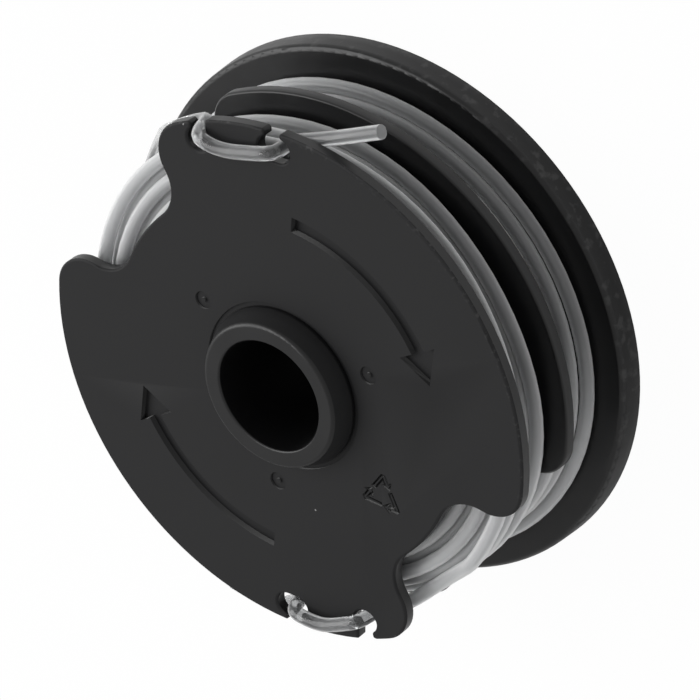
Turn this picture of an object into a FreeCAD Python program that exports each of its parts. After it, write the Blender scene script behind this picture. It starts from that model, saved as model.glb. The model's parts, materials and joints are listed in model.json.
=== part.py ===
import FreeCAD, Part
import math
import os

from FreeCAD import Vector

# Line spool of a dual line grass trimmer, in millimetres. The spool stands on its wide rear flange:
# the origin is the middle of its underside, and +Z runs along the bore to the marked front flange.

# Bore, its tube and the front collar
bore_r = 8.0
tube_wall = 3.5
tube_setback = 0.4
collar_height = 3.2
collar_land = 2.5
collar_flare = 1.1
collar_round = 0.6
collar_groove_width = 0.7
collar_groove_depth = 0.3

# Drum that the line is wound on, hollow behind the front flange
drum_r = 20.5
drum_wall = 2.0
rib_count = 6
rib_thickness = 1.4
rib_setback = 3.0

# Rear flange: a thin web inside a deep rim
rear_rim_r = 39.25
rear_rim_height = 4.0
rear_rim_wall = 2.8
rear_rim_draft = 0.2
rear_web = 1.8

# Ratchet ring under the rear web, which the feed catch steps along
ratchet_teeth = 12
ratchet_tooth_width = 5.0
ratchet_tooth_height = 1.5
ratchet_ring_r = 24.0

# Chambers and the two upper flanges
rear_chamber = 8.5
mid_flange_r = 37.2
mid_flange = 2.0
front_chamber = 9.7
front_flange_r = 38.0
front_flange = 1.7
edge_break = 0.35
rim_round = 0.9

# Finger scallops: a floor arc, then a hollow arc and a lip arc on each side
scallop_angles = (90.0, 270.0)
scallop_floor_r = 27.5
scallop_floor_half = 10.9
scallop_hollow = 5.5
scallop_lip = 5.25

# Keyhole slots that park the line ends, one on each side of an island: the angle of a slot's mouth from
# the island's middle, then the angles of the two ends of its hole
island_angles = (45.0, 225.0)
slots = ((8.9, 10.5, 10.5), (-9.3, -8.6, -11.0))
slot_hole_inset = 2.65
slot_hole_r = 1.75
slot_mouth_width = 2.2
slot_nose_round = 0.5
slot_throat_round = 0.4

# Ejector marks round the collar
mark_angles = (90.0, 210.0, 330.0)
mark_circle_r = 15.5
mark_r = 1.3
mark_nub_r = 0.35
mark_depth = 0.3

# Nylon line and its two windings, whose layers of three turns and of two nest in each other
line_r = 1.0
line_clearance = 0.1
winding_layers = 9
winding_turns = 3
front_layer_step = 1.4875
front_turn_step = 3.0
rear_layer_step = 1.5625
rear_turn_step = 2.9
turn_crown = 0.45
turn_groove = 1.0

# How far the parked line sags below the front flange, and how far the rear one lies below the middle flange
under_sag = 0.2
chamber_sag = 0.4

# Levels that follow from the sizes above
web_bottom = rear_rim_height - rear_web
mid_bottom = rear_rim_height + rear_chamber
mid_top = mid_bottom + mid_flange
front_bottom = mid_top + front_chamber
front_top = front_bottom + front_flange
collar_top = front_top + collar_height
tube_r = bore_r + tube_wall
core_r = drum_r - drum_wall
collar_r = bore_r + collar_land

# Heights of a line that lies under the front flange, and of one that lies on it
under_z = front_bottom - line_r - line_clearance - under_sag
over_z = front_top + line_r + line_clearance


def polar(radius, degrees, z=0.0):
    """Point at a radius and an angle about the bore"""
    angle = math.radians(degrees)
    return Vector(radius * math.cos(angle), radius * math.sin(angle), z)


def disc(radius, z, height):
    """Upright cylinder about the bore"""
    return Part.makeCylinder(radius, height, Vector(0, 0, z))


def corner_arc(before, corner, after, radius):
    """Start, middle and end of the arc that rounds a corner between two straight runs"""
    back = (before - corner).normalize()
    ahead = (after - corner).normalize()
    half = back.getAngle(ahead) / 2
    inward = (back + ahead).normalize()
    centre = corner + inward * (radius / math.sin(half))
    tangent = radius / math.tan(half)
    return corner + back * tangent, centre - inward * radius, corner + ahead * tangent


def rounded_edges(points, radii, closed):
    """Straight runs through the points, with a tangent arc at each point that has a radius"""
    edges = []
    count = len(points)
    at = points[0]
    if closed and radii[0] > 0:
        at = corner_arc(points[-1], points[0], points[1], radii[0])[2]
    last = count if closed else count - 1
    for i in range(1, last + 1):
        corner = points[i % count]
        radius = radii[i % count]
        ends_here = not closed and i == last
        if radius <= 0 or ends_here:
            edges.append(Part.LineSegment(at, corner).toShape())
            at = corner
            continue
        start, middle, end = corner_arc(points[i - 1], corner, points[(i + 1) % count], radius)
        if at.distanceToPoint(start) > 1e-6:
            edges.append(Part.LineSegment(at, start).toShape())
        edges.append(Part.Arc(start, middle, end).toShape())
        at = end
    return edges


def turned(section):
    """Solid turned about the bore from (radius, height, rounding) corners"""
    points = [Vector(radius, 0, z) for radius, z, rounding in section]
    wire = Part.Wire(rounded_edges(points, [corner[2] for corner in section], True))
    return Part.Face(wire).revolve(Vector(0, 0, 0), Vector(0, 0, 1), 360)


def scallop_side(rim_r, centre, side):
    """Named points of one side of a scallop, from its floor out to the rim"""
    hollow_from = scallop_floor_r + scallop_hollow
    lip_from = rim_r - scallop_lip
    reach = scallop_hollow + scallop_lip
    cosine = (hollow_from ** 2 + lip_from ** 2 - reach ** 2) / (2 * hollow_from * lip_from)
    lip_half = scallop_floor_half + math.degrees(math.acos(cosine))
    hollow_centre = polar(hollow_from, centre + side * scallop_floor_half)
    lip_centre = polar(lip_from, centre + side * lip_half)
    floor_end = polar(scallop_floor_r, centre + side * scallop_floor_half)
    join = hollow_centre + (lip_centre - hollow_centre) * (scallop_hollow / reach)
    rim_end = polar(rim_r, centre + side * lip_half)
    hollow_way = ((floor_end - hollow_centre) + (join - hollow_centre)).normalize()
    lip_way = ((join - lip_centre) + (rim_end - lip_centre)).normalize()
    return {
        "floor": floor_end,
        "hollow": hollow_centre + hollow_way * scallop_hollow,
        "join": join,
        "lip": lip_centre + lip_way * scallop_lip,
        "rim": rim_end,
    }


def scalloped_plate(rim_r, z, thickness):
    """Flange plate with its two scallops, all in tangent arcs"""
    edges = []
    for index, centre in enumerate(scallop_angles):
        near = scallop_side(rim_r, centre, -1)
        far = scallop_side(rim_r, centre, 1)
        following = scallop_side(rim_r, scallop_angles[(index + 1) % len(scallop_angles)], -1)
        edges.append(Part.Arc(near["rim"], near["lip"], near["join"]).toShape())
        edges.append(Part.Arc(near["join"], near["hollow"], near["floor"]).toShape())
        edges.append(Part.Arc(near["floor"], polar(scallop_floor_r, centre), far["floor"]).toShape())
        edges.append(Part.Arc(far["floor"], far["hollow"], far["join"]).toShape())
        edges.append(Part.Arc(far["join"], far["lip"], far["rim"]).toShape())
        edges.append(Part.Arc(far["rim"], polar(rim_r, centre + 90), following["rim"]).toShape())
    plate = Part.Face(Part.Wire(edges)).extrude(Vector(0, 0, thickness))
    plate.translate(Vector(0, 0, z))
    return plate


def slab(start, end, width):
    """Upright slab as thick as the front flange, along a line in plan"""
    along = (end - start).normalize()
    across = Vector(-along.y, along.x, 0) * (width / 2)
    outline = Part.makePolygon([start + across, end + across, end - across, start - across, start + across])
    return Part.Face(outline).extrude(Vector(0, 0, front_flange))


def keyhole(centre, slot):
    """Cutter of one slot: a round or long hole whose mouth runs out through the rim"""
    mouth, first, last = slot
    hole_circle_r = front_flange_r - slot_hole_inset
    start = polar(hole_circle_r, centre + first, front_bottom)
    end = polar(hole_circle_r, centre + last, front_bottom)
    middle = (start + end) * 0.5
    rim = polar(front_flange_r, centre + mouth, front_bottom)
    beyond = rim + (rim - middle).normalize() * slot_mouth_width
    cutter = slab(middle, beyond, slot_mouth_width)
    cutter = cutter.fuse(Part.makeCylinder(slot_hole_r, front_flange, start))
    if last != first:
        cutter = cutter.fuse(slab(start, end, 2 * slot_hole_r))
        cutter = cutter.fuse(Part.makeCylinder(slot_hole_r, front_flange, end))
    return cutter.removeSplitter()


def slot_corners(plate):
    """Upright corners of the slots: those at the rim, and those where a mouth meets its hole"""
    mouths = [polar(front_flange_r, centre + slot[0]) for centre in island_angles for slot in slots]
    throat_from = front_flange_r - slot_hole_inset + slot_hole_r / 2
    noses = []
    throats = []
    for edge in plate.Edges:
        if not isinstance(edge.Curve, Part.Line) or edge.BoundBox.ZLength < front_flange / 2:
            continue
        place = Vector(edge.CenterOfMass.x, edge.CenterOfMass.y, 0)
        to_mouth = min(place.distanceToPoint(mouth) for mouth in mouths)
        if to_mouth > slot_hole_inset or place.Length < throat_from:
            continue
        if place.Length > front_flange_r - 0.01:
            noses.append(edge)
        else:
            throats.append(edge)
    return noses, throats


def front_plate():
    """Front flange with scallops, keyhole slots, rounded noses and a softened front edge"""
    plate = scalloped_plate(front_flange_r, front_bottom, front_flange)
    for centre in island_angles:
        for slot in slots:
            plate = plate.cut(keyhole(centre, slot))
    plate = plate.makeFillet(slot_throat_round, slot_corners(plate)[1])
    plate = plate.makeFillet(slot_nose_round, slot_corners(plate)[0])
    outline = [edge for edge in plate.Edges if lies_on_top(edge)]
    return plate.makeChamfer(edge_break, outline)


def lies_on_top(edge):
    """True for an edge of the front face's outline"""
    return edge.BoundBox.ZMin > front_top - 0.001


def rib(index):
    """Rib from the bore tube to the drum wall, set back from the rear"""
    inner = tube_r - tube_wall / 2
    length = core_r + drum_wall / 2 - inner
    bottom = tube_setback + rib_setback
    bar = Part.makeBox(length, rib_thickness, front_bottom - bottom,
                       Vector(inner, -rib_thickness / 2, bottom))
    bar.rotate(Vector(0, 0, 0), Vector(0, 0, 1), 360 / rib_count * (index + 0.5))
    return bar


def ratchet_tooth(index):
    """Ramp that stands down from the rear web, cut to the ratchet ring"""
    half = ratchet_tooth_width / 2
    top = web_bottom
    profile = [Vector(0, -half, top), Vector(0, half, top),
               Vector(0, half, top - ratchet_tooth_height), Vector(0, -half, top)]
    ramp = Part.Face(Part.makePolygon(profile)).extrude(Vector(ratchet_ring_r + half, 0, 0))
    ramp.rotate(Vector(0, 0, 0), Vector(0, 0, 1), 360 / ratchet_teeth * index)
    ring = disc(ratchet_ring_r, 0, rear_rim_height).cut(disc(core_r, 0, rear_rim_height))
    return ramp.common(ring)


def ejector_mark(angle):
    """Ring cut of one ejector mark, with its nub left standing"""
    centre = polar(mark_circle_r, angle, front_top - mark_depth)
    ring = Part.makeCylinder(mark_r, mark_depth, centre)
    return ring.cut(Part.makeCylinder(mark_nub_r, mark_depth, centre))


def spool_core():
    """Bore tube, collar, drum wall, rear web and rim, turned in one section"""
    flare_r = collar_r + collar_flare
    groove_r = flare_r + collar_groove_width
    groove_z = front_top - collar_groove_depth
    section = [
        (bore_r, tube_setback, 0),
        (tube_r, tube_setback, 0),
        (tube_r, front_bottom, 0),
        (core_r, front_bottom, 0),
        (core_r, web_bottom, 0),
        (rear_rim_r - rear_rim_wall, web_bottom, 0),
        (rear_rim_r - rear_rim_wall, 0, 0),
        (rear_rim_r - edge_break, 0, 0),
        (rear_rim_r, edge_break, 0),
        (rear_rim_r - rear_rim_draft, rear_rim_height, rim_round),
        (drum_r, rear_rim_height, 0),
        (drum_r, front_top, 0),
        (groove_r, front_top, 0),
        (groove_r, groove_z, 0),
        (flare_r, groove_z, 0),
        (flare_r, front_top + collar_groove_depth, 0),
        (collar_r, collar_top, collar_round),
        (bore_r + edge_break, collar_top, 0),
        (bore_r, collar_top - edge_break, 0),
    ]
    return turned(section)


def spool_body():
    """The whole moulding: core, flanges, ribs, ratchet ring and marks"""
    body = spool_core()
    hub = disc(drum_r - drum_wall / 2, mid_bottom, front_top - mid_bottom)
    middle = scalloped_plate(mid_flange_r, mid_bottom, mid_flange)
    outline = [edge for edge in middle.Edges if not isinstance(edge.Curve, Part.Line)]
    middle = middle.makeChamfer(edge_break, outline)
    body = body.fuse([middle.cut(hub), front_plate().cut(hub)])
    body = body.fuse([rib(index) for index in range(rib_count)])
    body = body.fuse([ratchet_tooth(index) for index in range(ratchet_teeth)])
    body = body.cut([ejector_mark(angle) for angle in mark_angles])
    return body.removeSplitter()


def winding_r(layer_step):
    """Radius to the middle of the outermost turns"""
    return drum_r + line_clearance + line_r + (winding_layers - 1) * layer_step


def winding(bottom, layer_step, turn_step, ridged_from):
    """One winding as a turned solid: a crown for each outer turn, and for each full layer seen from above"""
    inner = drum_r + line_clearance
    outer = winding_r(layer_step) + line_r
    top = bottom + 2 * line_r + (winding_turns - 1) * turn_step
    section = [(inner, bottom), (outer - line_r, bottom)]
    for turn in range(winding_turns):
        middle = bottom + line_r + turn * turn_step
        if turn > 0:
            section.append((outer - turn_groove, middle - turn_step / 2))
        section.append((outer, middle - turn_crown))
        section.append((outer, middle + turn_crown))
    middle = winding_r(layer_step)
    section.append((middle + turn_crown, top))
    while middle - 2 * layer_step > ridged_from:
        section.append((middle - turn_crown, top))
        section.append((middle - layer_step, top - turn_groove))
        middle -= 2 * layer_step
        section.append((middle + turn_crown, top))
    section.append((inner, top))
    return turned([(radius, z, 0) for radius, z in section])


def line_tube(name, route):
    """Round line along straight runs and tangent arcs; prints its length and its radii"""
    points = [polar(radius, angle, z) for radius, angle, z in route]
    radii = [0]
    for before, corner, after in zip(points, points[1:], points[2:]):
        turn = math.pi - (before - corner).getAngle(after - corner)
        shorter = min(before.distanceToPoint(corner), corner.distanceToPoint(after))
        radii.append(0.45 * shorter / math.tan(turn / 2))
    radii.append(0)
    path = Part.Wire(rounded_edges(points, radii, False))
    ahead = (points[1] - points[0]).normalize()
    ring = Part.Wire(Part.makeCircle(line_r, points[0], ahead))
    tube = path.makePipeShell([ring], True, True)
    section = math.pi * line_r ** 2
    print(name, "length %.1f" % path.Length, "volume ratio %.4f" % (tube.Volume / (section * path.Length)))
    print(name, "radii", " ".join("%.1f" % radius for radius in radii[1:-1]))
    return tube


def front_line_end():
    """Route of the front line: off its winding, up its hole past the island and out along the rim"""
    outside = winding_r(front_layer_step) + 2 * line_r + line_clearance
    return [
        (outside, 264.0, under_z - 0.6),
        (outside + 0.1, 255.0, under_z - 0.4),
        (outside + 0.2, 245.8, under_z),
        (35.5, 236.1, under_z),
        (35.3, 235.4, over_z),
        (35.1, 230.4, over_z),
        (35.9, 225.2, over_z),
        (35.6, 220.4, over_z),
        (35.0, 215.4, over_z),
        (35.2, 214.3, under_z),
        (38.4, 210.3, under_z),
        (39.9, 206.0, under_z + 0.2),
        (39.9, 197.2, under_z + 0.3),
    ]


def rear_line_end():
    """Route of the rear line: forward through a scallop, up its mouth past the island and out under the rim"""
    outside = winding_r(rear_layer_step) + 2 * line_r + line_clearance
    start_z = mid_bottom - line_r - line_clearance - chamber_sag
    return [
        (outside, 106.0, start_z),
        (outside, 98.0, start_z + 0.3),
        (outside, 90.0, start_z + 1.6),
        (outside, 82.5, mid_top + 0.6),
        (outside, 75.5, mid_top + 4.2),
        (outside + 0.2, 68.5, under_z - 1.1),
        (outside + 0.6, 62.0, under_z),
        (37.2, 54.2, under_z),
        (36.6, 54.7, over_z),
        (35.1, 50.6, over_z),
        (34.4, 45.8, over_z),
        (34.7, 40.4, over_z),
        (35.3, 34.9, over_z),
        (35.6, 33.8, under_z),
        (38.1, 25.6, under_z + 0.1),
        (44.8, 14.4, under_z + 0.3),
    ]


def write(name, shape):
    """Check one sub-part and write it"""
    solids = len(shape.Solids)
    print(name, "solids", solids, "valid", shape.isValid(), "volume %.1f" % shape.Volume)
    shape.exportStep("parts/" + name + ".step")


os.makedirs("parts", exist_ok=True)
write("spool_body", spool_body())
write("front_line_coil", winding(mid_top + line_clearance, front_layer_step, front_turn_step,
                                 scallop_floor_r))
write("rear_line_coil", winding(rear_rim_height + line_clearance, rear_layer_step, rear_turn_step,
                                front_flange_r))
write("front_line_end", line_tube("front_line_end", front_line_end()))
write("rear_line_end", line_tube("rear_line_end", rear_line_end()))
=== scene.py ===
# %% [markdown]
# # A line spool for a grass trimmer
#
# The object is a black nylon spool with two chambers, and a length of clear trimmer line wound in each.
# The plain model of it comes in as a fixed frame, in metres, standing on its wide rear flange.
# This lesson dresses that frame: it lays the real turns of line, sharpens and marks the moulding,
# and gives both plastics their finish.

# %% Load the frame
import json
import math

import bmesh
import bpy
from mathutils import Matrix, Vector

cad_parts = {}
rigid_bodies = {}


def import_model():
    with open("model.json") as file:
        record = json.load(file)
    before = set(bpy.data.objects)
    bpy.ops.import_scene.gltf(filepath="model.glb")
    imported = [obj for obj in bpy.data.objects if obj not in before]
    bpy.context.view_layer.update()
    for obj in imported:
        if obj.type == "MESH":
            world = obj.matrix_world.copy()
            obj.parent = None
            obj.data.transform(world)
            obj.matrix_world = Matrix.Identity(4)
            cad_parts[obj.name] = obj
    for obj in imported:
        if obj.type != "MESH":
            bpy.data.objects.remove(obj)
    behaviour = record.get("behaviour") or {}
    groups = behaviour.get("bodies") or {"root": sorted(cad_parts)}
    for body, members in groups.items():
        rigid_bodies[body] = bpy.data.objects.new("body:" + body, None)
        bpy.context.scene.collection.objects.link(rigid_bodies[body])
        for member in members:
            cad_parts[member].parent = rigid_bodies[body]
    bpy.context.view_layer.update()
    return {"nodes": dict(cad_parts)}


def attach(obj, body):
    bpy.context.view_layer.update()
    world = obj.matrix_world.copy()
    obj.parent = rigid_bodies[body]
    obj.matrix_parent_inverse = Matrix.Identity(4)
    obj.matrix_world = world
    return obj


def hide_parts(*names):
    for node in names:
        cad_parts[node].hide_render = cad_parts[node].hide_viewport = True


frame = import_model()
print("nodes:", sorted(frame["nodes"]))

# %% [markdown]
# Sizes are written in millimetres and turned to metres where a point is made. Nearly every shape here
# is set out round the bore, so one helper gives a point by its radius, its angle and its height.

# %% Millimetres and polar points
MM = 0.001


def polar(radius, degrees, height=0.0):
    """Point in metres from a radius, an angle and a height in millimetres"""
    angle = math.radians(degrees)
    return Vector((radius * math.cos(angle), radius * math.sin(angle), height)) * MM


# %% [markdown]
# The picture is taken from above the marked flange with a long lens, so the near and far flanges keep
# nearly the same size. The camera stands on a line through the front face, tilted from the bore's axis,
# and is rolled so that the bore leans over to the lower left.

# %% Camera
FRONT_FACE = 25.9
LOOK_TILT = math.radians(47.28)
LOOK_ROLL = math.radians(-36.74)
LOOK_TURN = math.radians(-9.0)
LOOK_SCALE = 38.0
LOOK_DISTANCE = 15.61
LOOK_SHIFT = (-0.233, -0.124)

back = Vector((math.sin(LOOK_TILT), 0, math.cos(LOOK_TILT)))
level = Vector((0, 1, 0)).cross(back).normalized()
upward = back.cross(level)
right = level * math.cos(LOOK_ROLL) + upward * math.sin(LOOK_ROLL)
top = upward * math.cos(LOOK_ROLL) - level * math.sin(LOOK_ROLL)
place = back * LOOK_DISTANCE - right * LOOK_SHIFT[0] - top * LOOK_SHIFT[1]
turn = Matrix.Rotation(LOOK_TURN, 4, "Z")
axes = Matrix((right, top, back)).transposed().to_4x4()
camera_data = bpy.data.cameras.new("camera")
camera_data.lens = 232.5
camera_data.sensor_width = 36
camera_data.clip_start = 0.05
camera_data.clip_end = 20
camera = bpy.data.objects.new("camera", camera_data)
camera.matrix_world = (
    Matrix.Translation(Vector((0, 0, FRONT_FACE)) * MM + (turn @ place) * LOOK_SCALE * MM) @ turn @ axes
)
bpy.context.scene.collection.objects.link(camera)
bpy.context.scene.camera = camera
print("camera at", [round(value, 3) for value in camera.matrix_world.translation])

# %% [markdown]
# Colours are given as sRGB hex values, while shaders work in linear light, so one function turns the one
# into the other. Another adds a node to a tree and links what feeds it. It serves materials and Geometry
# Nodes alike.

# %% Colour and node helpers
def linear(hex_colour):
    """Linear RGBA from an sRGB hex value"""
    channels = [int(hex_colour[i:i + 2], 16) / 255 for i in (1, 3, 5)]
    lights = [c / 12.92 if c <= 0.04045 else ((c + 0.055) / 1.055) ** 2.4 for c in channels]
    return (*lights, 1.0)


def add(tree, kind, settings=None, inputs=None):
    """Add a node, set its settings, then set or link its inputs"""
    node = tree.nodes.new(kind)
    for name, value in (settings or {}).items():
        setattr(node, name, value)
    for name, value in (inputs or {}).items():
        socket = node.inputs[name]
        if isinstance(value, bpy.types.NodeSocket):
            tree.links.new(value, socket)
        else:
            socket.default_value = value
    return node


def new_material(name):
    """Empty material and its node tree"""
    material = bpy.data.materials.new(name)
    material.use_nodes = True
    material.node_tree.nodes.clear()
    return material, material.node_tree


# %% [markdown]
# Trimmer line is nylon monofilament, extruded and stretched, so it is smooth, springy and a little milky.
# Light goes partly through it, and the rest scatters about a millimetre deep. Over a dark ground its middle
# looks grey, and its edges are painted white, a painted highlight where they catch the light. A pack of
# turns as clear as the free ends would go black, so wound turns let less light through. Their colour is
# also painted whiter towards the two finger scallops, as painted daylight where daylight reaches them. Both
# are told by where a point lies round the bore.

# %% Where the line is wound, and where daylight reaches it
PACK_R = 35.6
PACK_TOP = 24.2
PACK_EDGE = 0.4
OPEN_FROM = 0.62
OPEN_ALL = 0.96
OPEN_MOST = 0.65

line_material, tree = new_material("nylon_monofilament_extruded")
spot = add(tree, "ShaderNodeTexCoord").outputs["Object"]
axis = add(tree, "ShaderNodeSeparateXYZ", None, {"Vector": spot})
flat = add(tree, "ShaderNodeVectorMath", {"operation": "MULTIPLY"}, {0: spot, 1: (1, 1, 0)})
reach = add(tree, "ShaderNodeVectorMath", {"operation": "LENGTH"}, {0: flat.outputs[0]})
within = add(tree, "ShaderNodeMapRange", None, {
    "Value": reach.outputs["Value"], "From Min": PACK_R * MM, "From Max": (PACK_R - PACK_EDGE) * MM})
below = add(tree, "ShaderNodeMapRange", None, {
    "Value": axis.outputs["Z"], "From Min": PACK_TOP * MM, "From Max": (PACK_TOP - PACK_EDGE) * MM})
packed = add(tree, "ShaderNodeMath", {"operation": "MULTIPLY"}, {
    0: within.outputs[0], 1: below.outputs[0]})

# The scallops lie at +Y and -Y, so the share of Y in the reach tells how near one is
aside = add(tree, "ShaderNodeMath", {"operation": "ABSOLUTE"}, {0: axis.outputs["Y"]})
near_scallop = add(tree, "ShaderNodeMath", {"operation": "DIVIDE"}, {
    0: aside.outputs[0], 1: reach.outputs["Value"]})
in_the_open = add(tree, "ShaderNodeMapRange", None, {
    "Value": near_scallop.outputs[0], "From Min": OPEN_FROM, "From Max": OPEN_ALL, "To Max": OPEN_MOST})
painted_daylight = add(tree, "ShaderNodeMath", {"operation": "MULTIPLY"}, {
    0: in_the_open.outputs[0], 1: packed.outputs[0]})

# %% Nylon line
SKIN_BLEND = 0.35
SCATTER_DEPTH = 1.0

along_the_skin = add(tree, "ShaderNodeLayerWeight", None, {"Blend": SKIN_BLEND}).outputs["Facing"]

# How much light goes through: most in the middle of a strand, less at its edges and less where wound
clear_share = add(tree, "ShaderNodeMapRange", None, {
    "Value": along_the_skin, "From Min": 0.35, "From Max": 1.0, "To Min": 0.95, "To Max": 0.25})
wound_share = add(tree, "ShaderNodeMapRange", None, {
    "Value": in_the_open.outputs[0], "To Min": 0.5, "To Max": 0.25})
through = add(tree, "ShaderNodeMapRange", None, {
    "Value": packed.outputs[0], "To Min": 0.88, "To Max": wound_share.outputs[0]})
transmission = add(tree, "ShaderNodeMath", {"operation": "MULTIPLY"}, {
    0: clear_share.outputs[0], 1: through.outputs[0]})

# Painted light: the colour is grey in the middle of a strand, painted white at its edges as a painted
# highlight, and painted white towards the scallops as painted daylight
edge = add(tree, "ShaderNodeMapRange", None, {
    "Value": along_the_skin, "From Min": 0.08, "From Max": 0.45})
painted_light = add(tree, "ShaderNodeMath", {"operation": "MAXIMUM"}, {0: edge.outputs[0], 1: painted_daylight.outputs[0]})
colour = add(tree, "ShaderNodeMix", {"data_type": "RGBA"}, {"Factor": painted_light.outputs[0]})
colour.inputs[6].default_value = linear("#9c9d9e")
colour.inputs[7].default_value = linear("#f6f7f8")

# Free ends are glossy, and wound turns are scuffed by their neighbours
roughness = add(tree, "ShaderNodeMapRange", None, {
    "Value": packed.outputs[0], "To Min": 0.07, "To Max": 0.35})
surface = add(tree, "ShaderNodeBsdfPrincipled", None, {
    "Base Color": colour.outputs[2],
    "Roughness": roughness.outputs[0],
    "IOR": 1.5,
    "Transmission Weight": transmission.outputs[0],
    "Subsurface Weight": 1.0,
    "Subsurface Radius": (1.0, 1.0, 1.0),
    "Subsurface Scale": SCATTER_DEPTH * MM,
})
add(tree, "ShaderNodeOutputMaterial", None, {"Surface": surface.outputs["BSDF"]})
print("line material:", len(tree.nodes), "nodes")

# %% [markdown]
# Each line starts at the drum and is wound outwards. A layer of three turns leaves two hollows, and the
# next layer's two turns lie in them, so layers of three and of two follow each other, nine in all.
# A turn runs level for part of its round and then steps over to the next seat, which is how a machine
# lays line. The turns are control points of the line's own smooth curve, eighteen to a turn. That curve
# cuts inside its points, so the points stand out by the cosine of half a step.

# %% The wound turns
LINE_DIAMETER = 2.0
FIRST_LAYER_R = 21.6
LAYERS = 9
POINTS_PER_TURN = 18


def seats_of(layer_step, first_z, turn_step):
    """Radius and height of each turn's seat, from the drum outwards"""
    seats = []
    for layer in range(LAYERS):
        climbing = layer % 2 == 0
        places = [0, 1, 2] if climbing else [1.5, 0.5]
        radius = FIRST_LAYER_R + layer * layer_step
        seats.extend((radius, first_z + place * turn_step) for place in places)
    return seats


def wound_turns(seats, start_angle, crossing_points, last_points, slack):
    """Control points (radius, angle, height) of a winding, from the drum outwards and clockwise"""
    reach = 1 / math.cos(math.pi / POINTS_PER_TURN)
    level_points = POINTS_PER_TURN - crossing_points
    points = []
    for step in range((len(seats) - 1) * POINTS_PER_TURN + last_points):
        turn, place_in_turn = divmod(step, POINTS_PER_TURN)
        here = seats[turn]
        ahead = seats[min(turn + 1, len(seats) - 1)]
        share = max(0, place_in_turn - level_points) / crossing_points
        radius = here[0] + share * (ahead[0] - here[0])
        height = here[1] + share * (ahead[1] - here[1])
        angle = start_angle - 360 * step / POINTS_PER_TURN
        for lift, middle, spread in slack.get(turn - len(seats), []):
            off_middle = (angle - middle + 180) % 360 - 180
            height += lift * math.exp(-(off_middle / spread) ** 2)
        points.append([radius * reach, angle, height])
    return points


# %% [markdown]
# The outer turns were wound loosely and have crept a little towards the front. The slack is given for each
# of the last turns, counted from the end: how far it lifts, at which angle and how wide the lift spreads.

# %% Slack of the outer turns
FRONT_SLACK = {
    -1: [(1.25, -45.0, 40.0), (0.2, 30.0, 30.0)],
    -2: [(2.1, -45.0, 40.0), (1.0, 30.0, 30.0)],
    -3: [(1.2, -25.0, 30.0), (0.6, 56.0, 22.0)],
}
REAR_SLACK = {
    -1: [(1.0, 15.0, 35.0)],
    -2: [(0.3, 22.0, 41.0)],
}

FRONT_TURNS = wound_turns(seats_of(1.4875, 15.6, 3.0), 130.0, 5, 12, FRONT_SLACK)
REAR_TURNS = wound_turns(seats_of(1.5625, 5.1, 2.9)[:-1], 180.0, 3, 3, REAR_SLACK)
print("turns end at", FRONT_TURNS[-1], REAR_TURNS[-1])

# %% [markdown]
# From its winding each line runs out under the front flange, comes up through one keyhole slot, lies on
# the island between two slots, goes down the other slot and ends in a short cut tip outside the rim.
# The rear line first climbs forward through a finger scallop. These points are listed one by one.

# %% The parked ends
FRONT_END = [
    (33.5, 262.0, 21.1),
    (33.6, 255.0, 20.8),
    (34.1, 249.5, 21.0),
    (34.8, 243.5, 21.8),
    (35.0, 238.5, 22.8),
    (34.9, 236.2, 22.9),
    (34.7, 235.6, 27.0),
    (35.2, 230.4, 27.0),
    (35.9, 225.2, 27.0),
    (35.6, 220.6, 27.0),
    (35.0, 216.4, 27.0),
    (35.1, 215.3, 22.9),
    (37.9, 210.8, 22.9),
    (39.3, 206.0, 23.0),
    (39.4, 197.2, 23.1),
]
REAR_END = [
    (34.9, 124.0, 9.6),
    (35.3, 110.0, 11.2),
    (36.1, 100.0, 11.4),
    (36.2, 90.0, 12.9),
    (36.2, 82.5, 15.1),
    (36.2, 75.5, 18.7),
    (36.4, 68.5, 21.8),
    (36.8, 62.0, 22.9),
    (37.2, 54.2, 22.9),
    (36.5, 54.0, 27.0),
    (34.9, 50.2, 27.0),
    (34.4, 45.8, 27.0),
    (34.7, 40.4, 27.0),
    (35.2, 36.3, 27.0),
    (35.5, 34.0, 26.4),
    (35.6, 33.8, 24.6),
    (35.8, 33.2, 22.9),
    (38.1, 25.6, 23.0),
    (44.2, 15.0, 23.2),
]


def lay_line(name, route):
    """Round line on one open smooth curve with the route's points as its control points"""
    curve = bpy.data.curves.new(name, "CURVE")
    curve.dimensions = "3D"
    curve.bevel_depth = LINE_DIAMETER / 2 * MM
    curve.bevel_resolution = 4
    curve.use_fill_caps = True
    spline = curve.splines.new("NURBS")
    spline.points.add(len(route) - 1)
    for point, (radius, angle, height) in zip(spline.points, route):
        point.co = (*polar(radius, angle, height), 1)
    spline.order_u = 3
    spline.use_endpoint_u = True
    spline.resolution_u = 4
    spline.use_smooth = True
    curve.materials.append(line_material)
    line = bpy.data.objects.new(name, curve)
    bpy.context.scene.collection.objects.link(line)
    return line


def centre_length(line):
    """Length of a curve's own smooth line, in metres"""
    plain = line.data.copy()
    plain.bevel_depth = 0
    probe = bpy.data.objects.new("probe", plain)
    bpy.context.scene.collection.objects.link(probe)
    mesh = bpy.data.meshes.new_from_object(probe.evaluated_get(bpy.context.evaluated_depsgraph_get()))
    spots = [vertex.co.copy() for vertex in mesh.vertices]
    bpy.data.objects.remove(probe)
    return sum((b - a).length for a, b in zip(spots, spots[1:]))


front_line = lay_line("front_line", FRONT_TURNS + FRONT_END)
rear_line = lay_line("rear_line", REAR_TURNS + REAR_END)
line_lengths = {line.name: centre_length(line) for line in (front_line, rear_line)}
print("line lengths", line_lengths)

# %% [markdown]
# The body is one moulding. Its solid is already true, so a copy of its triangles is merged into one
# closed mesh, flat triangles are joined, and the marks are cut into that.

# %% A closed copy of the moulding
FLAT_WITHIN = math.radians(0.5)

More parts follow.
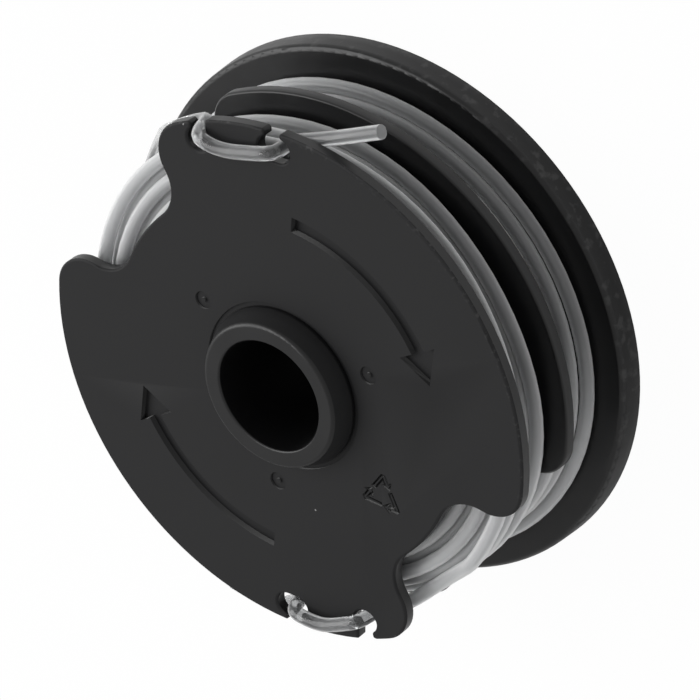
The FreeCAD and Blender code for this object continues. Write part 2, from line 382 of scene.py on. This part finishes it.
body_mesh = frame["nodes"]["spool_body"].data.copy()
body_mesh.materials.clear()
shell = bmesh.new()
shell.from_mesh(body_mesh)
bmesh.ops.remove_doubles(shell, verts=shell.verts, dist=0.002 * MM)
open_edges = sum(1 for edge in shell.edges if len(edge.link_faces) != 2)
print("moulding:", len(shell.faces), "triangles,", open_edges, "open edges")
bmesh.ops.dissolve_limit(shell, angle_limit=FLAT_WITHIN, verts=shell.verts, edges=shell.edges)
print("moulding:", len(shell.faces), "faces after joining flat ones")
shell.to_mesh(body_mesh)
shell.free()
body = bpy.data.objects.new("moulding", body_mesh)
bpy.context.scene.collection.objects.link(body)

# %% [markdown]
# Two arrows on the front face show which way the spool is wound. Each is a sunk band round the bore
# with a three cornered head. Geometry Nodes repeat one outline round the bore, and its prism is the
# cutter that sinks the marks. A cutter's lid stands proud of the face, so that no skin is left on it.

# %% Winding arrows
MARK_DEPTH = 0.9
BAND_R = (24.25, 26.5)
BAND_ANGLES = (209.6, 155.0)
HEAD_R = (22.1, 28.4)
HEAD_APEX = (25.2, 144.3)
BAND_STEPS = 28
LID_ABOVE = 0.3


def prism(name, outline, depth):
    """Closed prism whose lid stands a little proud of the front face"""
    low = FRONT_FACE - depth
    high = FRONT_FACE + LID_ABOVE
    solid = bmesh.new()
    floor_ring = [solid.verts.new(Vector((x, y, low)) * MM) for x, y in outline]
    lid_ring = [solid.verts.new(Vector((x, y, high)) * MM) for x, y in outline]
    solid.faces.new(floor_ring)
    solid.faces.new(lid_ring)
    count = len(outline)
    for i in range(count):
        following = (i + 1) % count
        solid.faces.new((floor_ring[i], floor_ring[following], lid_ring[following], lid_ring[i]))
    bmesh.ops.recalc_face_normals(solid, faces=solid.faces)
    mesh = bpy.data.meshes.new(name)
    solid.to_mesh(mesh)
    solid.free()
    piece = bpy.data.objects.new(name, mesh)
    bpy.context.scene.collection.objects.link(piece)
    return piece


def around(radius, degrees):
    """Plan point in millimetres"""
    return radius * math.cos(math.radians(degrees)), radius * math.sin(math.radians(degrees))


arrow_outline = []
for i in range(BAND_STEPS + 1):
    angle = BAND_ANGLES[0] + (BAND_ANGLES[1] - BAND_ANGLES[0]) * i / BAND_STEPS
    arrow_outline.append(around(BAND_R[1], angle))
arrow_outline.append(around(HEAD_R[1], BAND_ANGLES[1]))
arrow_outline.append(around(*HEAD_APEX))
arrow_outline.append(around(HEAD_R[0], BAND_ANGLES[1]))
for i in range(BAND_STEPS + 1):
    angle = BAND_ANGLES[1] + (BAND_ANGLES[0] - BAND_ANGLES[1]) * i / BAND_STEPS
    arrow_outline.append(around(BAND_R[0], angle))
arrow_cutter = prism("arrow_cutter", arrow_outline, MARK_DEPTH)


def repeat_tree(name):
    """Geometry Nodes tree that repeats a piece round an upright axis"""
    tree = bpy.data.node_groups.new(name, "GeometryNodeTree")
    tree.interface.new_socket("Geometry", in_out="INPUT", socket_type="NodeSocketGeometry")
    tree.interface.new_socket("Count", in_out="INPUT", socket_type="NodeSocketInt")
    tree.interface.new_socket("Centre", in_out="INPUT", socket_type="NodeSocketVector")
    tree.interface.new_socket("Material", in_out="INPUT", socket_type="NodeSocketMaterial")
    tree.interface.new_socket("Geometry", in_out="OUTPUT", socket_type="NodeSocketGeometry")
    given = add(tree, "NodeGroupInput")
    seats = add(tree, "GeometryNodeMeshLine", None, {
        "Count": given.outputs["Count"], "Start Location": given.outputs["Centre"], "Offset": (0, 0, 0)})
    index = add(tree, "GeometryNodeInputIndex")
    part_turn = add(tree, "ShaderNodeMath", {"operation": "DIVIDE"}, {
        0: index.outputs[0], 1: given.outputs["Count"]})
    angle = add(tree, "ShaderNodeMath", {"operation": "MULTIPLY"}, {0: part_turn.outputs[0], 1: math.tau})
    spin = add(tree, "ShaderNodeCombineXYZ", None, {"Z": angle.outputs[0]})
    copies = add(tree, "GeometryNodeInstanceOnPoints", None, {
        "Points": seats.outputs["Mesh"], "Instance": given.outputs["Geometry"],
        "Rotation": spin.outputs[0]})
    real = add(tree, "GeometryNodeRealizeInstances", None, {"Geometry": copies.outputs[0]})
    coated = add(tree, "GeometryNodeSetMaterial", None, {
        "Geometry": real.outputs[0], "Material": given.outputs["Material"]})
    add(tree, "NodeGroupOutput", None, {"Geometry": coated.outputs[0]})
    return tree


def apply_tree(piece, tree, values):
    """Run a tree on a piece with named values and keep the plain mesh"""
    modifier = piece.modifiers.new("repeat", "NODES")
    modifier.node_group = tree
    for item in tree.interface.items_tree:
        if item.in_out == "INPUT" and item.name in values:
            modifier[item.identifier] = values[item.name]
    apply_modifiers(piece)


def apply_modifiers(piece):
    """Turn a piece's evaluated shape into its plain mesh"""
    evaluated = piece.evaluated_get(bpy.context.evaluated_depsgraph_get())
    mesh = bpy.data.meshes.new_from_object(evaluated)
    piece.modifiers.clear()
    piece.data = mesh


body_material, body_tree = new_material("nylon_moulded_polished")
round_tree = repeat_tree("repeat_round_an_axis")
apply_tree(arrow_cutter, round_tree, {"Count": 2, "Centre": (0.0, 0.0, 0.0), "Material": body_material})
print("arrows:", len(arrow_cutter.data.polygons), "faces")

# %% [markdown]
# The sign for recycling is three bent arrows that chase each other round a triangle, and each is drawn as
# the outline of its strip. The outline is written once, for the side that lies nearest to the bore, and
# runs round one corner of the triangle. The same Geometry Nodes tree repeats it on the other two sides.

# %% Recycling sign
SIGN_CENTRE = (-0.25, -19.4)
SIGN_STROKE = 0.3
SIGN_DEPTH = 0.6
STRIP_OUTER = 1.8
STRIP_INNER = 1.3
BARB_REACH = 0.4
TAIL_AT = 0.0
HEAD_AT = -1.35
TIP_AT = -0.5
CORNER_CUT = 2.6


def on_side(along, out, corner):
    """Plan point of the sign, on the nearest side or on the one before its corner"""
    turn_back = math.radians(120) if corner else 0.0
    x = along * math.cos(turn_back) - out * math.sin(turn_back)
    y = along * math.sin(turn_back) + out * math.cos(turn_back)
    return x, y


def groove(name, outline, width, depth):
    """Closed ring shaped cutter that follows an outline"""
    count = len(outline)
    rings = ([], [])
    for i in range(count):
        here = Vector(outline[i])
        back_way = (here - Vector(outline[i - 1])).normalized()
        ahead_way = (Vector(outline[(i + 1) % count]) - here).normalized()
        across = Vector((-back_way.y - ahead_way.y, back_way.x + ahead_way.x)).normalized()
        square = max(0.4, across.dot(Vector((-ahead_way.y, ahead_way.x))))
        for ring, side in zip(rings, (0.5, -0.5)):
            ring.append(here + across * (side * width / square))
    solid = bmesh.new()
    corners = [[[solid.verts.new(Vector((spot.x, spot.y, z)) * MM) for spot in ring] for ring in rings]
               for z in (FRONT_FACE - depth, FRONT_FACE + LID_ABOVE)]
    floor, lid = corners
    for i in range(count):
        j = (i + 1) % count
        solid.faces.new((floor[0][i], floor[1][i], floor[1][j], floor[0][j]))
        solid.faces.new((lid[0][i], lid[0][j], lid[1][j], lid[1][i]))
        for ring in (0, 1):
            solid.faces.new((floor[ring][i], floor[ring][j], lid[ring][j], lid[ring][i]))
    bmesh.ops.recalc_face_normals(solid, faces=solid.faces)
    mesh = bpy.data.meshes.new(name)
    solid.to_mesh(mesh)
    solid.free()
    piece = bpy.data.objects.new(name, mesh)
    bpy.context.scene.collection.objects.link(piece)
    return piece


strip_middle = (STRIP_OUTER + STRIP_INNER) / 2
inner_corner = STRIP_INNER * math.tan(math.radians(60))
sign_outline = [
    on_side(TAIL_AT, STRIP_OUTER, True),
    on_side(CORNER_CUT, STRIP_OUTER, True),
    on_side(-CORNER_CUT, STRIP_OUTER, False),
    on_side(HEAD_AT, STRIP_OUTER, False),
    on_side(HEAD_AT, STRIP_OUTER + BARB_REACH, False),
    on_side(TIP_AT, strip_middle, False),
    on_side(HEAD_AT, STRIP_INNER - BARB_REACH, False),
    on_side(HEAD_AT, STRIP_INNER, False),
    on_side(-inner_corner, STRIP_INNER, False),
    on_side(TAIL_AT, STRIP_INNER, True),
]
sign_cutter = groove("sign_cutter", sign_outline, SIGN_STROKE, SIGN_DEPTH)
apply_tree(sign_cutter, round_tree, {
    "Count": 3, "Centre": (SIGN_CENTRE[0] * MM, SIGN_CENTRE[1] * MM, 0.0), "Material": body_material})
print("sign:", len(sign_cutter.data.polygons), "faces")

# %% [markdown]
# A boolean takes each cutter out of the body. The manifold solver keeps the mesh closed, and it allows
# cutters whose copies overlap.

# %% Sink the marks
for cutter in (arrow_cutter, sign_cutter):
    cut = body.modifiers.new("sink", "BOOLEAN")
    cut.operation = "DIFFERENCE"
    cut.solver = "MANIFOLD"
    cut.object = cutter
    apply_modifiers(body)
    bpy.data.objects.remove(cutter)
    print("body:", len(body.data.polygons), "faces after a mark")

# %% [markdown]
# The chamfers of the solid are flat strips. Smooth shading across them, weighted by how large each face
# is, makes the strips look round, as a mould's edges are. The level faces then get their true upright
# normals back, because the marks cut them into odd shapes that would shade unevenly.

# %% Shade the edges soft
SHARP_FROM = math.radians(50)
LEVEL = 0.9995

body.data.shade_smooth()
body.data.set_sharp_from_angle(angle=SHARP_FROM)
soften = body.modifiers.new("soften", "WEIGHTED_NORMAL")
soften.keep_sharp = True
soften.weight = 100
apply_modifiers(body)

corner_normals = [tuple(corner.vector) for corner in body.data.corner_normals]
level_faces = [face for face in body.data.polygons if abs(face.normal.z) > LEVEL]
for face in level_faces:
    for corner in face.loop_indices:
        corner_normals[corner] = (0.0, 0.0, math.copysign(1.0, face.normal.z))
body.data.normals_split_custom_set(corner_normals)
print("level faces:", len(level_faces), "of", len(body.data.polygons))

# %% [markdown]
# The body is glass filled black nylon from an injection mould. The mould's front half was spark eroded,
# which leaves the marked face with a fine matt grain, and the rest was polished, so the other flanges are
# smoother and look darker until they are seen along the surface. One face of the mesh takes one of two
# materials by where it lies. Both read Object coordinates in metres.

# %% Pattern helpers
def grain(tree, size_mm, detail):
    """Noise whose blobs are about size_mm across, on Object coordinates"""
    place = add(tree, "ShaderNodeTexCoord")
    return add(tree, "ShaderNodeTexNoise", None, {
        "Vector": place.outputs["Object"], "Scale": 1 / (size_mm * MM), "Detail": detail}).outputs["Fac"]


def spread(tree, value, low, high, to_low, to_high):
    """Map one range of a value to another"""
    return add(tree, "ShaderNodeMapRange", None, {
        "Value": value, "From Min": low, "From Max": high, "To Min": to_low, "To Max": to_high}).outputs[0]


def blend(tree, share, first, second):
    """Mix two colours by a share"""
    node = add(tree, "ShaderNodeMix", {"data_type": "RGBA"}, {"Factor": share})
    for socket, colour in ((node.inputs[6], first), (node.inputs[7], second)):
        if isinstance(colour, bpy.types.NodeSocket):
            tree.links.new(colour, socket)
        else:
            socket.default_value = colour
    return node.outputs[2]


def product(tree, first, second):
    """Product of two values"""
    return add(tree, "ShaderNodeMath", {"operation": "MULTIPLY"}, {0: first, 1: second}).outputs[0]


# %% [markdown]
# Nylon picks up pale specks of dust, and the corners that rub in the trimmer's head turn grey. Specks are
# the middles of a few cells of a Voronoi pattern. Real ones are under 0.1 mm, and these are drawn three
# times as large so that they show. Rubbed corners are found by how far they lie from the bore.

# %% Dust and wear
SPECK_SPACING = 4.0
SPECK_R = 0.14
SPECK_SHARE = 0.12


def dust(tree):
    """One where a speck lies, else zero"""
    place = add(tree, "ShaderNodeTexCoord")
    cells = add(tree, "ShaderNodeTexVoronoi", None, {
        "Vector": place.outputs["Object"], "Scale": 1 / (SPECK_SPACING * MM)})
    near = add(tree, "ShaderNodeMath", {"operation": "LESS_THAN"}, {
        0: cells.outputs["Distance"], 1: SPECK_R / SPECK_SPACING})
    pick = add(tree, "ShaderNodeSeparateColor", None, {"Color": cells.outputs["Color"]})
    chosen = add(tree, "ShaderNodeMath", {"operation": "LESS_THAN"}, {
        0: pick.outputs["Red"], 1: SPECK_SHARE})
    return product(tree, near.outputs[0], chosen.outputs[0])


def rubbed(tree, from_mm, to_mm, size_mm, bare):
    """Broken wear that grows with the distance from the bore"""
    place = add(tree, "ShaderNodeTexCoord")
    flat = add(tree, "ShaderNodeVectorMath", {"operation": "MULTIPLY"}, {
        0: place.outputs["Object"], 1: (1, 1, 0)})
    reach = add(tree, "ShaderNodeVectorMath", {"operation": "LENGTH"}, {0: flat.outputs[0]})
    outwards = spread(tree, reach.outputs["Value"], from_mm * MM, to_mm * MM, 0.0, 1.0)
    patches = spread(tree, grain(tree, size_mm, 4.0), bare, bare + 0.12, 0.0, 1.0)
    return product(tree, outwards, patches)


# %% [markdown]
# Spark grain is pits of about 0.05 mm, and it is drawn at 0.35 mm here so that a picture can hold it. It
# spreads what light falls on it, so this face looks dark grey from every side. The pits also shade one
# another, so the skin reflects less than smooth nylon does.

# %% Spark textured face
spark_material, tree = new_material("nylon_moulded_spark_textured")
pits = grain(tree, 0.35, 3.0)
handled = grain(tree, 14.0, 3.0)
bare_colour = blend(tree, spread(tree, handled, 0.35, 0.65, 0.0, 1.0), linear("#1b1b1c"), linear("#1f1f20"))
worn_colour = blend(tree, rubbed(tree, 37.3, 37.9, 0.7, 0.56), bare_colour, linear("#3c3c3c"))
colour = blend(tree, dust(tree), worn_colour, linear("#8c8c8c"))
bumps = add(tree, "ShaderNodeBump", None, {"Strength": 0.35, "Distance": 0.03 * MM, "Height": pits})
surface = add(tree, "ShaderNodeBsdfPrincipled", None, {
    "Base Color": colour,
    "Roughness": spread(tree, handled, 0.3, 0.7, 0.56, 0.66),
    "IOR": 1.53,
    "Specular IOR Level": 0.27,
    "Normal": bumps.outputs[0],
})
add(tree, "ShaderNodeOutputMaterial", None, {"Surface": surface.outputs["BSDF"]})

# %% [markdown]
# A polished mould leaves a satin skin with faint waves where the plastic shrank. It mirrors the studio
# when it is seen along the surface, which is why the rim turns pale at its outline.

# %% Polished faces
tree = body_tree
waves = grain(tree, 5.0, 2.0)
streaks = grain(tree, 1.2, 3.0)
handled = grain(tree, 9.0, 3.0)
worn_colour = blend(tree, rubbed(tree, 38.3, 39.0, 1.6, 0.55), linear("#0f0f10"), linear("#343434"))
colour = blend(tree, dust(tree), worn_colour, linear("#8c8c8c"))
ripples = add(tree, "ShaderNodeBump", None, {"Strength": 0.25, "Distance": 0.12 * MM, "Height": waves})
skin = add(tree, "ShaderNodeBump", None, {
    "Strength": 0.2, "Distance": 0.02 * MM, "Height": streaks, "Normal": ripples.outputs[0]})
surface = add(tree, "ShaderNodeBsdfPrincipled", None, {
    "Base Color": colour,
    "Roughness": spread(tree, handled, 0.3, 0.7, 0.3, 0.42),
    "IOR": 1.5,
    "Normal": skin.outputs[0],
})
add(tree, "ShaderNodeOutputMaterial", None, {"Surface": surface.outputs["BSDF"]})

# %% [markdown]
# The textured half of the mould made what faces forward between the floors of the marks and the collar's
# edge. All other faces keep the polished finish, and on the steep walls of the sunk marks its darker colour
# is also painted shade inside the marks. Then the moulding takes its place in the frame.

# %% Give each face its finish
MARK_FLOOR = FRONT_FACE - 1.2
COLLAR_EDGE = 28.4
STEEP = 0.25

body.data.materials.clear()
body.data.materials.append(body_material)
body.data.materials.append(spark_material)
for face in body.data.polygons:
    in_front_half = MARK_FLOOR < face.center.z / MM < COLLAR_EDGE
    # Steep walls of the marks take the darker polished colour, which is also painted shade inside the sunk
    # marks
    face.material_index = 1 if in_front_half and face.normal.z > STEEP else 0
print("textured faces:", sum(face.material_index for face in body.data.polygons))
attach(body, "root")
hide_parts("spool_body")

# %% [markdown]
# Each line joins the moulding's body in place of the frame's coil and end, which are hidden. Its first turn
# starts on the drum, and its far end is a bare cut.

# %% Hand the lines over
for line, nodes, start in (
    (front_line, ("front_line_coil", "front_line_end"), FRONT_TURNS[0]),
    (rear_line, ("rear_line_coil", "rear_line_end"), REAR_TURNS[0]),
):
    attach(line, "root")
    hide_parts(*nodes)

# %% [markdown]
# The studio is a white room. The floor and the backdrop show plain white, and the floor still takes a
# little of the spool's shadow.

# %% Floor and backdrop
FLOOR_HALF = 3.0
FLOOR_GLOW = 0.97
ROOM_LIGHT = 0.5

floor_mesh = bpy.data.meshes.new("floor")
corners = [(x * FLOOR_HALF, y * FLOOR_HALF, 0) for x, y in ((-1, -1), (1, -1), (1, 1), (-1, 1))]
floor_mesh.from_pydata(corners, [], [(0, 1, 2, 3)])
floor = bpy.data.objects.new("floor", floor_mesh)
bpy.context.scene.collection.objects.link(floor)
floor_material, tree = new_material("floor_pale_matt")
paper = add(tree, "ShaderNodeBsdfDiffuse", None, {"Color": linear("#f6f6f6")})
glow = add(tree, "ShaderNodeEmission", None, {"Color": (1, 1, 1, 1), "Strength": 1.0})
path = add(tree, "ShaderNodeLightPath")
seen = add(tree, "ShaderNodeMath", {"operation": "MAXIMUM"}, {
    0: path.outputs["Is Camera Ray"], 1: path.outputs["Is Transmission Ray"]})
share = add(tree, "ShaderNodeMath", {"operation": "MULTIPLY"}, {0: seen.outputs[0], 1: FLOOR_GLOW})
both = add(tree, "ShaderNodeMixShader", None, {
    0: share.outputs[0], 1: paper.outputs[0], 2: glow.outputs[0]})
add(tree, "ShaderNodeOutputMaterial", None, {"Surface": both.outputs[0]})
floor_mesh.materials.append(floor_material)

world = bpy.data.worlds.new("studio")
bpy.context.scene.world = world
world.use_nodes = True
tree = world.node_tree
tree.nodes.clear()
path = add(tree, "ShaderNodeLightPath")
level = add(tree, "ShaderNodeMapRange", None, {
    "Value": path.outputs["Is Camera Ray"], "To Min": ROOM_LIGHT, "To Max": 1.0})
sky = add(tree, "ShaderNodeBackground", None, {"Color": (1, 1, 1, 1), "Strength": level.outputs[0]})
add(tree, "ShaderNodeOutputWorld", None, {"Surface": sky.outputs[0]})

# %% [markdown]
# One large soft lamp stands above and to the left of the camera, and the world fills in the rest, so that
# a colour renders about as it is written.

# %% Lamp
LAMP_PLACE = Vector((-0.36, 0.89, 0.95))
LAMP_SIZE = 1.2
LAMP_WATTS = 13
SPOOL_MIDDLE = Vector((0, 0, 0.015))

lamp = bpy.data.lights.new("key", "AREA")
lamp.size = LAMP_SIZE
lamp.energy = LAMP_WATTS
holder = bpy.data.objects.new("key", lamp)
holder.location = LAMP_PLACE
holder.rotation_euler = (SPOOL_MIDDLE - LAMP_PLACE).to_track_quat("-Z", "Y").to_euler()
bpy.context.scene.collection.objects.link(holder)

# %% [markdown]
# The picture shows colours as they are.

# %% Close
bpy.context.scene.view_settings.view_transform = "Standard"
